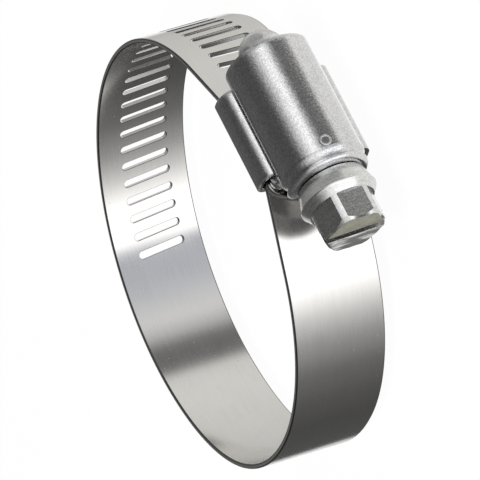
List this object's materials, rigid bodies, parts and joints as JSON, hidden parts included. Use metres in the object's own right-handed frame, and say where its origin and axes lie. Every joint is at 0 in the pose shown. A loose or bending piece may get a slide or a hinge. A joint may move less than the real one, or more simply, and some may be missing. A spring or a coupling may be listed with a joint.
{
  "type": "worm drive hose clamp",
  "caption": "Slotted steel band closed round a hose by a hexagon-headed worm screw in a pressed housing.",
  "frame": {"origin": "middle of the base of the bounding box, where the clamp lies on its side on the saddle's fold and the band's lower rim", "axes": "+Z along the hoop's axis, -Y from the hoop's axis toward the housing, -X along the screw toward its head"},
  "size_m": [0.0578, 0.0685, 0.0156],
  "materials": {
    "band_steel": "fine lengthwise grain, satin",
    "saddle_steel": "pressed sheet, mottled satin",
    "housing_steel": "pressed sheet, mottled satin",
    "screw_steel": "satin"
  },
  "bodies": {
    "clamp": {"band": "band_steel", "saddle": "saddle_steel", "housing": "housing_steel"},
    "screw": {"screw": "screw_steel"}
  },
  "joints": [
    {"name": "screw_turn", "type": "hinge", "parent": "clamp", "child": "screw", "pos_m": [0, -0.02855, 0.0083], "axis": [1, 0, 0], "range_deg": [-1440, 9360], "deforming": ["band"]}
  ]
}
